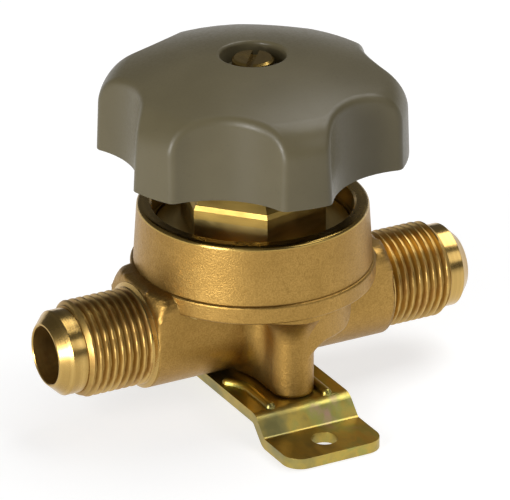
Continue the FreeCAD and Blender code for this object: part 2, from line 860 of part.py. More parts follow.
def mounting_bracket():
    """Pressed steel bracket with beads round the pillars and a hole in each foot."""
    holes = []
    for side in (-1, 1):
        holes.append(Part.makeCylinder(hole_r, 3 * sheet, Vector(bracket_offset_x, side * hole_y, -sheet)))
        holes.append(Part.makeCylinder(bracket_screw_r + slide_gap, 3 * sheet,
                                       at(0, side * pillar_y, z_pillar_bottom - 2 * sheet)))
    raised = fuse_all([bracket_sheet()] + four_beads(z_pillar_bottom))
    return raised.cut(four_beads(z_pillar_bottom - sheet) + holes)


def bracket_screws():
    """Two screws that hold the bracket to the pillars from below."""
    z_plate = z_pillar_bottom - sheet
    z_washer = z_plate - spring_washer_thickness
    z_head = z_washer - bracket_screw_head_height
    screws = []
    for y in (-pillar_y, pillar_y):
        head = disc(bracket_screw_head_r, z_head, z_washer, 0, y)
        slot = Part.makeBox(2 * bracket_screw_head_r, slot_width, slot_depth,
                            at(-bracket_screw_head_r, y - slot_width / 2, z_head))
        shank = disc(bracket_screw_r, z_washer, z_pillar_bottom + bracket_screw_depth - screw_end_gap, 0, y)
        screws.append(head.cut(slot).fuse(shank).removeSplitter())
    return Part.makeCompound(screws)


def spring_washers():
    z_plate = z_pillar_bottom - sheet
    inner = bracket_screw_r + slide_gap
    return Part.makeCompound([
        ring(spring_washer_r, inner, z_plate - spring_washer_thickness, z_plate, 0, y)
        for y in (-pillar_y, pillar_y)
    ])


DIAPHRAGM_NAMES = ("lower_diaphragm", "middle_diaphragm", "upper_diaphragm")


def make_parts():
    parts = {
        "valve_body": valve_body(),
        "bonnet": bonnet(),
        "clamp_ring": clamp_ring(),
        "pressure_shoe": pressure_shoe(),
        "thrust_ball": thrust_ball(),
        "spindle": spindle(),
        "dust_ring": dust_ring(),
        "valve_disc": valve_disc(),
        "seal_ring": seal_ring(),
        "seal_retainer": seal_retainer(),
        "retainer_screw": retainer_screw(),
        "opening_spring": opening_spring(),
        "spring_seat": spring_seat(),
        "handwheel": handwheel(),
        "wheel_screw": wheel_screw(),
        "mounting_bracket": mounting_bracket(),
        "bracket_screws": bracket_screws(),
        "spring_washers": spring_washers(),
    }
    for index, name in enumerate(DIAPHRAGM_NAMES[:diaphragm_count]):
        parts[name] = diaphragm(index)
    return parts


os.makedirs("parts", exist_ok=True)
for name, shape in make_parts().items():
    shape.exportStep("parts/" + name + ".step")
    print(name, "solids", len(shape.Solids), "valid", shape.isValid(), "volume", round(shape.Volume, 1))
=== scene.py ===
import json
import math

import bmesh
import bpy
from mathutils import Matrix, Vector
from mathutils.bvhtree import BVHTree
from mathutils.geometry import barycentric_transform


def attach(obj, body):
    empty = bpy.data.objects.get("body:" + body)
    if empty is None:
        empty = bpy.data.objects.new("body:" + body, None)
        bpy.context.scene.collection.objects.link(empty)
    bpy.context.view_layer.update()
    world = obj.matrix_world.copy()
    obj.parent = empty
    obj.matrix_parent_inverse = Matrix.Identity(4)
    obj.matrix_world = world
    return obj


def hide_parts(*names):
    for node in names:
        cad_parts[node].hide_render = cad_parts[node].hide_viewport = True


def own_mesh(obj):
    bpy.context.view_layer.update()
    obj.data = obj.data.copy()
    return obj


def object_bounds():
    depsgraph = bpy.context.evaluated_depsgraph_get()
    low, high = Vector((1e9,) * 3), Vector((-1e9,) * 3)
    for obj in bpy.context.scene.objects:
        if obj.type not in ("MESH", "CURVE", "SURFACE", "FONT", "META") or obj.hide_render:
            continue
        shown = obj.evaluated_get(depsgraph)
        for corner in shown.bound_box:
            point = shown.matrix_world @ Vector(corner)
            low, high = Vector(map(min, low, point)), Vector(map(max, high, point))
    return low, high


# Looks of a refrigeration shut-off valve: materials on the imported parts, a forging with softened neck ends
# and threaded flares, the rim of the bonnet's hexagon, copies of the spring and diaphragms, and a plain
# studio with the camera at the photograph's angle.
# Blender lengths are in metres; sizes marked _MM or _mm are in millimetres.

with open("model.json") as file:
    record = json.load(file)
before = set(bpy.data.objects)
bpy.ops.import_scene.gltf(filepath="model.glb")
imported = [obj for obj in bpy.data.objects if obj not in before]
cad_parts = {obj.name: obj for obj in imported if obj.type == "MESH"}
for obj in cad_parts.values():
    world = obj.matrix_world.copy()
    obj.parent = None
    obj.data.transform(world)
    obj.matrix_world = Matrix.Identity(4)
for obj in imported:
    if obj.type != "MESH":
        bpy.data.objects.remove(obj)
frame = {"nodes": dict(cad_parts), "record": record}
cad_box = [list(corner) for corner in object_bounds()]
nodes = frame["nodes"]
mounts = {mount["name"]: mount for mount in frame["record"]["mounts"]}

MM = 0.001
X_AXIS = Vector((1.0, 0.0, 0.0))
Y_AXIS = Vector((0.0, 1.0, 0.0))
Z_AXIS = Vector((0.0, 0.0, 1.0))

# Camera, fitted to the flare ends, the cup's rim and the bracket in the photograph
CAMERA_AT = (-0.50560, -0.93755, 0.52241)
CAMERA_AIM = (0.003066, 0.004677, 0.031506)
CAMERA_LENS = 366.37
CAMERA_SENSOR = 36.0
CAMERA_CLIP = (0.05, 30.0)

# Studio: sizes in metres, then greys and strengths of light
ROOM_RADIUS = 5.0
ROOM_SIDES = 32
WALL_HEIGHT = 0.5
FLOOR_LEVEL = -0.0002
LAMP_AIM_HEIGHT = 0.04
SEEN_GREY = 0.45
SEEN_GLOW = 0.70
BOUNCE_GREY = 0.75
WORLD_LIGHT = 0.11
# Lamps: name, azimuth, elevation, distance, width, height, radiance
LAMPS = (
    ("key_left", -65, 19, 0.9, 0.30, 0.60, 5.5),
    ("key_low", -64, 6.5, 0.9, 0.21, 0.18, 30.0),
    ("top_right", 100, 62, 0.9, 0.65, 0.65, 3.9),
    ("front_fill", 32, 33, 1.1, 0.55, 0.45, 1.6),
)

# Tolerances of the mesh work; SAME_WAY is the cosine above which two normals count as alike
WELD_MM = 0.002
ON_PLANE_MM = 0.0005
ON_CUT_MM = 0.002
MOVED_MM = 0.003
SAME_WAY = 0.9

# Flare ends: distances from the middle along the port axis, and radii about it
PORT_AXIS_MM = mounts["outlet_thread"]["pos_m"][2] / MM
THREAD_R_MM = mounts["outlet_thread"]["dims"]["r_mm"]
BORE_R_MM = mounts["outlet_bore"]["dims"]["r_mm"]
NOSE_MM = round(cad_box[1][0] / MM, 2)
CUT_MM = 30.19
ROOT_MM = 29.9
ROOT_R_MM = 11.8
SHOULDER_MM = 30.21
SHOULDER_R_MM = 12.2
SHOULDER_SLOPE_MM = 0.55
SHOULDER_FOOT_STEP_MM = 0.10
THREAD_FOOT_MM = 31.05
THREAD_END_MM = 46.4
THREAD_END_STEP_MM = 0.3
LAND_LOOP_MM = 0.05
LAND_END_MM = 49.9
LAND_R_MM = 9.7
NOSE_R_MM = 7.1
BORE_CHAMFER_MM = 0.2
BORE_END_MM = 32.0
PASSAGE_R_MM = 6.0
AROUND = 144
FLARE_CREASE_ANGLE = 35.0

# Their thread, whose groove and flank are shares of half a pitch
PITCH_MM = 1.814
THREAD_DEPTH_MM = 1.06
THREAD_CHAMFER_MM = 1.2
RUN_OUT_MM = 0.4
GROOVE_SHARE = 0.20
FLANK_SHARE = 0.66
FLANK_ROUNDING = 0.35
ROWS_PER_TURN = 16
# Radii between which shade is painted into the thread's grooves
THREAD_SHADE_R_MM = (10.15, 10.95)

# Rounded edges of the profiles, as steps from the sharp corner in the profile's two directions
SHOULDER_EDGE_MM = ((0.0, -0.12), (0.03, -0.03), (0.12, -0.08))
LAND_EDGE_MM = ((-0.08, 0.0), (0.06, -0.09))
NOSE_EDGE_MM = ((-0.16, 0.16), (-0.04, 0.02), (0.0, -0.08))
HEX_EDGE_STEPS_MM = ((0.0, 0.0), (-0.05, 0.06))
HEX_BEVEL_STEPS_MM = ((0.05, -0.08), (-0.05, 0.0))

# Softened ends of the neck: where they lie, the finer grid cut into them, and how far the edges give way
NECK_END_FROM_MM = 28.0
NECK_TOP_MM = 36.0
GRID_FROM_R_MM = SHOULDER_R_MM - 0.5
GRID_X_MM = (25.0, 26.0, 27.0, 28.0, 28.8, 29.5)
GRID_FROM_Y_MM = -16.0
GRID_FROM_Z_MM = 4.0
GRID_SPAN_MM = 32.0
GRID_MM = 0.9
SOFT_FROM_R_MM = SHOULDER_R_MM + 0.15
SOFT_FADE_MM = 1.3
SOFT_SHARE = 0.5
SOFT_TURNS = 18
ROUNDED_FROM_R_MM = SHOULDER_R_MM - 0.3

# Where the forging's skin ends: at its turned rim, inside its cup and in its passages
RIM_FROM_MM = 45.6
CUP_FLOOR_MM = 27.0
CUP_INNER_R_MM = 22.9
PASSAGE_FINISH_R_MM = 6.5

# Rim of the bonnet's hexagon, as half widths across flats and heights
HEX_CORNER_ANGLE = -107.6
HEX_INNER_MM = 7.6
HEX_FLAT_MM = 15.02
HEX_FOOT_MM = 46.9
HEX_EDGE_MM = 48.9
HEX_BEVEL_MM = 14.45
HEX_BEVEL_TOP_MM = 50.1
HEX_SLOPE_MM = 12.9
HEX_TOP_MM = 52.1

# Spring and diaphragms, copied as pieces of their own: node, slot, joint, height that stays, share kept
FLEXING = (
    ("opening_spring", "spring_steel", "disc_lift", 28.4, 0.533),
    ("lower_diaphragm", "stainless_sheet", "stem_lift", 33.9, 0.107),
    ("middle_diaphragm", "stainless_sheet", "stem_lift", 34.1, 0.107),
    ("upper_diaphragm", "stainless_sheet", "stem_lift", 34.3, 0.107),
)

# Rounding of the bracket's edges
BRACKET_EDGE_MM = 0.25
BRACKET_EDGE_SEGMENTS = 2
BRACKET_EDGE_ANGLE = 40.0

# Rays with which a material finds the corners it paints shade into
CORNER_SAMPLES = 8

# Colours, as linear red, green and blue
FORGED_DARK = (0.40, 0.236, 0.062)
FORGED_LIGHT = (0.46, 0.276, 0.076)
FORGED_MOTTLE = (0.32, 0.186, 0.046)
FORGED_GRAIN = (0.26, 0.150, 0.036)
# Painted shade of the forging's corners
FORGED_PAINTED_SHADE = (0.14, 0.098, 0.020)
TURNED_DARK = (0.46, 0.295, 0.088)
TURNED_LIGHT = (0.60, 0.400, 0.130)
# Painted shade of the turned parts' corners
TURNED_PAINTED_SHADE = (0.16, 0.110, 0.026)
THREAD_STAIN = (0.42, 0.225, 0.070)
# Painted shade of the thread's grooves
THREAD_GROOVE_SHADE = (0.30, 0.180, 0.045)
PARTS_DARK = (0.36, 0.235, 0.062)
PARTS_LIGHT = (0.46, 0.305, 0.085)
BONNET_DARK = (0.52, 0.38, 0.13)
BONNET_LIGHT = (0.62, 0.46, 0.17)
HEXAGON_DARK = (0.50, 0.33, 0.085)
HEXAGON_LIGHT = (0.56, 0.38, 0.10)
PLASTIC_DARK = (0.118, 0.099, 0.053)
PLASTIC_LIGHT = (0.134, 0.113, 0.062)
PLASTIC_SPECK = (0.080, 0.068, 0.040)
ZINC_OLIVE = (0.25, 0.22, 0.08)
ZINC_TAN = (0.35, 0.28, 0.085)
ZINC_YELLOW = (0.48, 0.35, 0.08)
ZINC_GREEN = (0.35, 0.33, 0.09)
ZINC_MAUVE = (0.42, 0.27, 0.18)
ZINC_GRAIN = (0.20, 0.15, 0.06)
STAINLESS_DARK = (0.42, 0.42, 0.41)
STAINLESS_LIGHT = (0.56, 0.56, 0.55)
WIRE_DARK = (0.30, 0.30, 0.31)
WIRE_LIGHT = (0.42, 0.42, 0.43)
BALL_DARK = (0.55, 0.55, 0.57)
BALL_LIGHT = (0.62, 0.62, 0.64)
RUBBER_DARK = (0.010, 0.010, 0.010)
RUBBER_LIGHT = (0.022, 0.022, 0.022)
POLYMER_DARK = (0.62, 0.62, 0.58)
POLYMER_LIGHT = (0.72, 0.72, 0.68)


# Node helpers

def add(tree, kind, inputs=None, **settings):
    """New node with its settings, and its inputs linked or set."""
    made = tree.nodes.new(kind)
    for key, value in settings.items():
        setattr(made, key, value)
    for key, value in (inputs or {}).items():
        if isinstance(value, bpy.types.NodeSocket):
            tree.links.new(value, made.inputs[key])
        else:
            made.inputs[key].default_value = value
    return made


def maths(tree, operation, *values):
    """Result of a sum or comparison."""
    return add(tree, "ShaderNodeMath", dict(enumerate(values)), operation=operation).outputs[0]


def noise(tree, vector, scale, detail=2.0, roughness=0.5):
    """Cloudy pattern about 0.5; a larger scale is finer."""
    made = add(tree, "ShaderNodeTexNoise", {"Vector": vector, "Scale": scale, "Detail": detail,
                                            "Roughness": roughness})
    return made.outputs["Fac"]


def spread(tree, value, low, high, to_low=0.0, to_high=1.0):
    """Value from low..high to to_low..to_high, smooth and clamped."""
    made = add(tree, "ShaderNodeMapRange", {"Value": value, "From Min": low, "From Max": high,
                                            "To Min": to_low, "To Max": to_high},
               interpolation_type="SMOOTHSTEP")
    return made.outputs["Result"]


def rgb(red, green, blue):
    """Opaque colour as a socket takes it."""
    return (red, green, blue, 1.0)


def mix(tree, factor, below, above):
    """Colour laid over another by a factor; each is a socket or a colour."""
    colours = [value if isinstance(value, bpy.types.NodeSocket) else rgb(*value) for value in (below, above)]
    # Sockets 6 and 7 of a mix node, and its output 2, are the ones for colours
    made = add(tree, "ShaderNodeMix", {0: factor, 6: colours[0], 7: colours[1]}, data_type="RGBA")
    return made.outputs[2]


def new_material(name):
    """Material with an empty shader tree: (material, tree, shader, object coordinates)."""
    material = bpy.data.materials.new(name)
    material.use_nodes = True
    tree = material.node_tree
    shader = tree.nodes["Principled BSDF"]
    coordinates = add(tree, "ShaderNodeTexCoord").outputs["Object"]
    return material, tree, shader, coordinates


def feed(tree, shader, **sources):
    """Links or sets the shader's inputs; an underscore in a name is a space."""
    for key, value in sources.items():
        socket = shader.inputs[key.replace("_", " ")]
        if isinstance(value, bpy.types.NodeSocket):
            tree.links.new(value, socket)
        else:
            socket.default_value = value


def bump(tree, height, distance_mm, strength=1.0, normal=None):
    """Normal of a surface raised by a pattern, on top of another bump's normal."""
    inputs = {"Height": height, "Distance": distance_mm * MM, "Strength": strength}
    if normal is not None:
        inputs["Normal"] = normal
    return add(tree, "ShaderNodeBump", inputs).outputs["Normal"]


def hollow(tree, distance_mm):
    """1 in the open, towards 0 deep in corners."""
    inputs = {"Distance": distance_mm * MM}
    return add(tree, "ShaderNodeAmbientOcclusion", inputs, samples=CORNER_SAMPLES).outputs["AO"]


# Materials

def forged_brass():
    """Blasted hot forging: grainy satin, darker in random patches, with painted shade in its corners."""
    material, tree, shader, at = new_material("forged_brass_skin")
    patches = noise(tree, at, 110.0, detail=3.0)
    mottle = noise(tree, at, 900.0, detail=3.0, roughness=0.6)
    grain = noise(tree, at, 2900.0, detail=2.0, roughness=0.6)
    colour = mix(tree, spread(tree, patches, 0.35, 0.65), FORGED_DARK, FORGED_LIGHT)
    colour = mix(tree, spread(tree, mottle, 0.56, 0.74, 0.0, 0.62), colour, FORGED_MOTTLE)
    colour = mix(tree, spread(tree, grain, 0.32, 0.68, 0.55, 0.0), colour, FORGED_GRAIN)
    # Painted shade: darker towards corners and hollows, near and farther out
    shade_near = spread(tree, hollow(tree, 3.0), 0.25, 0.95, 0.5, 0.0)
    shade_far = spread(tree, hollow(tree, 11.0), 0.30, 0.80, 0.5, 0.0)
    colour = mix(tree, maths(tree, "MAXIMUM", shade_near, shade_far), colour, FORGED_PAINTED_SHADE)
    rough = spread(tree, mottle, 0.25, 0.75, 0.37, 0.46)
    normal = bump(tree, patches, 0.25, strength=0.5)
    normal = bump(tree, mottle, 0.06, strength=0.7, normal=normal)
    normal = bump(tree, grain, 0.07, strength=0.9, normal=normal)
    feed(tree, shader, Base_Color=colour, Metallic=1.0, Roughness=rough, Normal=normal)
    return material


def radius_about(tree, at, axis):
    """(distance from a turning axis, place along it) of a point; X is the ports' axis, Z the wheel's."""
    x, y, z = add(tree, "ShaderNodeSeparateXYZ", {0: at}).outputs
    if axis == "X":
        across, along = maths(tree, "SUBTRACT", z, PORT_AXIS_MM * MM), x
    else:
        across, along = x, z
    square = maths(tree, "ADD", maths(tree, "MULTIPLY", y, y), maths(tree, "MULTIPLY", across, across))
    return maths(tree, "SQRT", square), along


def turned_brass(name, axis, dark=TURNED_DARK, light=TURNED_LIGHT, roughness=0.22, groove_r_mm=None,
                 painted_shade=0.6):
    """Machined brass with fine tool lines about an axis.

    With a pair of radii in groove_r_mm it is a thread, stained, with painted shade between them; else
    shade is painted into its corners.
    """
    material, tree, shader, at = new_material(name)
    radius, along = radius_about(tree, at, axis)
    lines_at = add(tree, "ShaderNodeCombineXYZ", {0: radius, 1: along}).outputs[0]
    lines = noise(tree, lines_at, 5200.0, detail=2.0, roughness=0.7)
    bands = noise(tree, lines_at, 700.0, detail=2.0)
    smudge = noise(tree, at, 160.0, detail=3.0)
    colour = mix(tree, spread(tree, bands, 0.3, 0.7), dark, light)
    colour = mix(tree, spread(tree, smudge, 0.5, 0.75, 0.0, 0.45), colour, dark)
    rough = spread(tree, smudge, 0.3, 0.75, roughness - 0.04, roughness + 0.10)
    if groove_r_mm:
        stain = noise(tree, at, 330.0, detail=3.0, roughness=0.6)
        colour = mix(tree, spread(tree, stain, 0.48, 0.66, 0.0, 0.6), colour, THREAD_STAIN)
        # Painted shade: darker towards the thread's roots
        groove_shade = spread(tree, radius, groove_r_mm[0] * MM, groove_r_mm[1] * MM, 0.40, 0.0)
        colour = mix(tree, groove_shade, colour, THREAD_GROOVE_SHADE)
        rough = maths(tree, "ADD", rough, maths(tree, "MULTIPLY", groove_shade, 0.2))
    else:
        # Painted shade: darker towards its corners
        corner = spread(tree, hollow(tree, 2.5), 0.2, 0.9, painted_shade, 0.0)
        colour = mix(tree, corner, colour, TURNED_PAINTED_SHADE)
    normal = bump(tree, lines, 0.012, strength=0.7)
    normal = bump(tree, bands, 0.02, strength=0.4, normal=normal)
    feed(tree, shader, Base_Color=colour, Metallic=1.0, Roughness=rough, Normal=normal)
    return material


def wheel_plastic():
    """Moulded thermoset: grey-brown, semi-matt, faintly uneven."""
    material, tree, shader, at = new_material("wheel_plastic_moulded")
    clouds = noise(tree, at, 60.0, detail=3.0)
    specks = noise(tree, at, 1500.0, detail=3.0, roughness=0.6)
    pits = noise(tree, at, 4200.0, detail=1.0)
    colour = mix(tree, spread(tree, clouds, 0.3, 0.7), PLASTIC_DARK, PLASTIC_LIGHT)
    colour = mix(tree, spread(tree, specks, 0.60, 0.78, 0.0, 0.4), colour, PLASTIC_SPECK)
    rough = spread(tree, specks, 0.3, 0.7, 0.32, 0.42)
    normal = bump(tree, clouds, 0.30, strength=0.35)
    normal = bump(tree, specks, 0.02, strength=0.6, normal=normal)
    normal = bump(tree, pits, 0.01, strength=0.5, normal=normal)
    feed(tree, shader, Base_Color=colour, Roughness=rough, Normal=normal, Specular_IOR_Level=0.33)
    return material


def zinc_steel():
    """Pressed steel with yellow passivated zinc, whose tint drifts from olive to yellow, green and mauve."""
    material, tree, shader, at = new_material("zinc_plated_sheet")
    drift = noise(tree, at, 70.0, detail=3.0, roughness=0.55)
    streaks_at = add(tree, "ShaderNodeMapping", {"Vector": at, "Scale": (260.0, 60.0, 260.0)}).outputs[0]
    streaks = noise(tree, streaks_at, 1.0, detail=4.0, roughness=0.6)
    tint_at = maths(tree, "ADD", maths(tree, "MULTIPLY", drift, 0.7), maths(tree, "MULTIPLY", streaks, 0.3))
    ramp = add(tree, "ShaderNodeValToRGB", {"Fac": tint_at})
    stops = ((0.36, ZINC_OLIVE), (0.43, ZINC_TAN), (0.50, ZINC_YELLOW), (0.56, ZINC_GREEN),
             (0.63, ZINC_MAUVE))
    elements = ramp.color_ramp.elements
    while len(elements) < len(stops):
        elements.new(0.5)
    for element, (position, tint) in zip(elements, stops):
        element.position = position
        element.color = rgb(*tint)
    grain = noise(tree, at, 2600.0, detail=3.0, roughness=0.6)
    colour = mix(tree, spread(tree, grain, 0.55, 0.75, 0.0, 0.22), ramp.outputs["Color"], ZINC_GRAIN)
    rough = spread(tree, streaks, 0.3, 0.7, 0.28, 0.40)
    normal = bump(tree, streaks, 0.03, strength=0.2)
    normal = bump(tree, grain, 0.012, strength=0.6, normal=normal)
    feed(tree, shader, Base_Color=colour, Metallic=1.0, Roughness=rough, Normal=normal)
    return material


def plain_metal(name, dark, light, roughness):
    """Steel of the inner parts: drawn or rolled, with faint streaks."""
    material, tree, shader, at = new_material(name)
    streaks = noise(tree, at, 420.0, detail=4.0, roughness=0.6)
    fine = noise(tree, at, 3800.0, detail=2.0)
    colour = mix(tree, spread(tree, streaks, 0.3, 0.7), dark, light)
    rough = spread(tree, streaks, 0.3, 0.7, roughness, roughness + 0.12)
    normal = bump(tree, fine, 0.01, strength=0.5)
    feed(tree, shader, Base_Color=colour, Metallic=1.0, Roughness=rough, Normal=normal)
    return material


def plain_soft(name, dark, light, roughness):
    """Rubber or polymer of the inner parts."""
    material, tree, shader, at = new_material(name)
    clouds = noise(tree, at, 300.0, detail=3.0)
    fine = noise(tree, at, 3000.0, detail=2.0)
    colour = mix(tree, spread(tree, clouds, 0.3, 0.7), dark, light)
    rough = spread(tree, clouds, 0.3, 0.7, roughness, roughness + 0.1)
    feed(tree, shader, Base_Color=colour, Roughness=rough, Normal=bump(tree, fine, 0.02, strength=0.5))
    return material


# Mesh helpers

def place(name, data):
    """New object in the scene."""
    made = bpy.data.objects.new(name, data)
    bpy.context.scene.collection.objects.link(made)
    return made


def paint(piece, *materials):
    """Gives a piece these materials and no others."""
    piece.data.materials.clear()
    for material in materials:
        piece.data.materials.append(material)


def from_port(point):
    """Distance in mm from the axis of the ports."""
    return math.hypot(point.y, point.z - PORT_AXIS_MM * MM) / MM


def from_axis(point):
    """Distance in mm from the axis of the wheel."""
    return math.hypot(point.x, point.y) / MM


def round_corner(corner, steps):
    """Points of a profile's rounded corner."""
    return [(corner[0] + first, corner[1] + second) for first, second in steps]


def ring_piece(name, rings):
    """Closed piece through rings of points, the last joined to the first."""
    work = bmesh.new()
    rows = [[work.verts.new(point) for point in ring] for ring in rings]
    for row, following in zip(rows, rows[1:] + rows[:1]):
        for step in range(len(row)):
            far = (step + 1) % len(row)
            work.faces.new((row[step], row[far], following[far], following[step]))
    bmesh.ops.recalc_face_normals(work, faces=work.faces)
    mesh = bpy.data.meshes.new(name)
    work.to_mesh(mesh)
    work.free()
    return place(name, mesh)


# Forging

def smooth_copy(source, name):
    """New object with a copy of a node's mesh, its split corners joined."""
    mesh = source.data.copy()
    piece = place(name, mesh)
    work = bmesh.new()
    work.from_mesh(mesh)
    bmesh.ops.remove_doubles(work, verts=work.verts, dist=WELD_MM * MM)
    work.to_mesh(mesh)
    work.free()
    return piece


def cut_flat(piece, x_mm, side):
    """Cuts off what lies beyond x on that side and closes the cut."""
    work = bmesh.new()
    work.from_mesh(piece.data)
    everything = list(work.verts) + list(work.edges) + list(work.faces)
    cut = bmesh.ops.bisect_plane(work, geom=everything, dist=ON_PLANE_MM * MM, clear_outer=True,
                                 plane_co=side * x_mm * MM * X_AXIS, plane_no=side * X_AXIS)
    rim = [part for part in cut["geom_cut"] if isinstance(part, bmesh.types.BMEdge)]
    bmesh.ops.triangle_fill(work, edges=rim, use_beauty=True, normal=side * X_AXIS)
    work.to_mesh(piece.data)
    work.free()


def on_neck_end(point, from_port_mm):
    """True near the end of the neck, beyond the ledge and outside a radius about the port axis."""
    return from_axis(point) > NECK_END_FROM_MM and from_port(point) > from_port_mm


def soften_neck_ends(piece):
    """Rounds the forging's edges at the ends of its neck, on a finer grid."""
    work = bmesh.new()
    work.from_mesh(piece.data)
    faces = [face for face in work.faces
             if any(on_neck_end(vert.co, GRID_FROM_R_MM) for vert in face.verts)
             and all(vert.co.z < NECK_TOP_MM * MM for vert in face.verts)]
    parts = dict.fromkeys(part for face in faces for part in (*face.verts, *face.edges))
    geometry = list(parts) + faces
    steps = [step * GRID_MM for step in range(int(GRID_SPAN_MM / GRID_MM))]
    cuts = [(X_AXIS, side * x) for side in (-1, 1) for x in GRID_X_MM]
    cuts += [(Y_AXIS, GRID_FROM_Y_MM + step) for step in steps]
    cuts += [(Z_AXIS, GRID_FROM_Z_MM + step) for step in steps]
    for normal, at_mm in cuts:
        cut = bmesh.ops.bisect_plane(work, geom=geometry, dist=ON_PLANE_MM * MM,
                                     plane_co=normal * at_mm * MM, plane_no=normal)
        geometry = cut["geom"]
    bmesh.ops.triangulate(work, faces=[face for face in work.faces if len(face.verts) > 3])
    soft = [vert for vert in work.verts if on_neck_end(vert.co, SOFT_FROM_R_MM)]
    near = [[edge.other_vert(vert) for edge in vert.link_edges] for vert in soft]
    shares = [SOFT_SHARE * min(1.0, (from_port(vert.co) - SHOULDER_R_MM) / SOFT_FADE_MM) for vert in soft]
    for _ in range(SOFT_TURNS):
        middles = [sum((other.co for other in others), Vector()) / len(others) for others in near]
        for vert, middle, share in zip(soft, middles, shares):
            vert.co = vert.co.lerp(middle, share)
    work.to_mesh(piece.data)
    work.free()


def keep_normals(mesh, source):
    """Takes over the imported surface's own normals, so that round faces stay smooth and edges crisp.

    The cut behind a flare's shoulder is flat, and what was softened or moved is rounded.
    """
    points = [vertex.co for vertex in source.vertices]
    corners = [tuple(face.vertices) for face in source.polygons]
    normals_there = [normal.vector for normal in source.corner_normals]
    surface = BVHTree.FromPolygons(points, corners)
    rounded = [vertex.normal.copy() for vertex in mesh.vertices]
    normals = []
    for face in mesh.polygons:
        facing, index, distance = surface.find_nearest(face.center)[1:]
        on_cut = abs(abs(face.center.x) - CUT_MM * MM) < ON_CUT_MM * MM
        moved = distance > MOVED_MM * MM or facing.dot(face.normal) < SAME_WAY
        if on_cut and from_port(face.center) < ROUNDED_FROM_R_MM:
            normals += [face.normal.copy() for _ in face.vertices]
        elif moved or on_neck_end(face.center, ROUNDED_FROM_R_MM):
            normals += [rounded[vertex] for vertex in face.vertices]
        else:
            first = source.polygons[index].loop_start
            there = [points[corner] for corner in corners[index]] + normals_there[first:first + 3]
            for vertex in face.vertices:
                normals.append(barycentric_transform(mesh.vertices[vertex].co, *there).normalized())
    for face in mesh.polygons:
        face.use_smooth = True
    mesh.normals_split_custom_set(normals)


def forging():
    """The valve body without its flare ends, which carry their threads as pieces of their own."""
    piece = smooth_copy(nodes["valve_body"], "forged_body")
    for side in (-1, 1):
        cut_flat(piece, CUT_MM, side)
    soften_neck_ends(piece)
    keep_normals(piece.data, nodes["valve_body"].data)
    return piece


# Flare ends

def thread_radius(x, turn):
    """Radius in mm at a distance from the middle and a turn of the helix."""
    share = (x / PITCH_MM - turn) % 1.0
    from_groove = abs(share - 0.5) * 2
    height = min(1.0, max(0.0, (from_groove - GROOVE_SHARE) / FLANK_SHARE))
    rounded = height * height * (3 - 2 * height) * FLANK_ROUNDING + height * (1 - FLANK_ROUNDING)
    fade = min(1.0, max(0.0, (x - THREAD_FOOT_MM) / RUN_OUT_MM))
    crest = THREAD_R_MM - THREAD_DEPTH_MM * (1 - rounded) * fade
    into_chamfer = max(0.0, x - (THREAD_END_MM - THREAD_CHAMFER_MM))
    chamfer_drop = THREAD_R_MM - LAND_R_MM - THREAD_END_STEP_MM
    return min(crest, THREAD_R_MM - into_chamfer * chamfer_drop / THREAD_CHAMFER_MM)


def flare_profile():
    """(distance from the middle, radius) of the plain stretches before and after the thread."""
    before = [(ROOT_MM, PASSAGE_R_MM), (ROOT_MM, ROOT_R_MM)]
    before += round_corner((SHOULDER_MM, SHOULDER_R_MM), SHOULDER_EDGE_MM)
    before += [(SHOULDER_MM + SHOULDER_SLOPE_MM, THREAD_R_MM + SHOULDER_FOOT_STEP_MM)]
    after = [(THREAD_END_MM, LAND_R_MM + THREAD_END_STEP_MM), (THREAD_END_MM, LAND_R_MM),
             (THREAD_END_MM + LAND_LOOP_MM, LAND_R_MM)]
    after += round_corner((LAND_END_MM, LAND_R_MM), LAND_EDGE_MM)
    after += round_corner((NOSE_MM, NOSE_R_MM), NOSE_EDGE_MM)
    after += [(NOSE_MM, BORE_R_MM + BORE_CHAMFER_MM), (NOSE_MM - BORE_CHAMFER_MM, BORE_R_MM),
              (BORE_END_MM, BORE_R_MM), (BORE_END_MM, PASSAGE_R_MM)]
    return before, after


def flare_end(name, side):
    """Threaded flare end, turned about the port axis, as one closed mesh; side is 1 at the outlet."""
    before, after = flare_profile()
    length = THREAD_END_MM - THREAD_FOOT_MM
    rows = int(length / PITCH_MM * ROWS_PER_TURN)
    turns = [step / AROUND for step in range(AROUND)]
    stations = [(x, [r] * AROUND) for x, r in before]
    for row in range(rows + 1):
        x = THREAD_FOOT_MM + length * row / rows
        stations.append((x, [thread_radius(x, turn) for turn in turns]))
    stations += [(x, [r] * AROUND) for x, r in after]
    rings = []
    for x, radii in stations:
        ring = []
        for turn, r in zip(turns, radii):
            angle = 2 * math.pi * turn * side
            ring.append((side * x * MM, r * math.sin(angle) * MM, (PORT_AXIS_MM + r * math.cos(angle)) * MM))
        rings.append(ring)
    return ring_piece(name, rings)


def shade(piece, angle):
    """Smooth shading with creases where faces meet at more than this angle."""
    for face in piece.data.polygons:
        face.use_smooth = True
    piece.data.set_sharp_from_angle(angle=math.radians(angle))
    piece.modifiers.new("weighted", "WEIGHTED_NORMAL").keep_sharp = True


# Bonnet and bracket

def hexagon_rim(name):
    """Full corners, bevel and shoulder of the bonnet's hexagon, as one closed ring."""
    levels = [(HEX_INNER_MM, HEX_FOOT_MM), (HEX_FLAT_MM, HEX_FOOT_MM)]
    levels += round_corner((HEX_FLAT_MM, HEX_EDGE_MM), HEX_EDGE_STEPS_MM)
    levels += round_corner((HEX_BEVEL_MM, HEX_BEVEL_TOP_MM), HEX_BEVEL_STEPS_MM)
    levels += [(HEX_SLOPE_MM, HEX_TOP_MM), (HEX_INNER_MM, HEX_TOP_MM)]
    rings = []
    for flat, height in levels:
        reach = flat / math.cos(math.pi / 6)
        ring = []
        for corner in range(6):
            angle = math.radians(HEX_CORNER_ANGLE + 60 * corner)
            ring.append((reach * math.cos(angle) * MM, reach * math.sin(angle) * MM, height * MM))
        rings.append(ring)
    return ring_piece(name, rings)


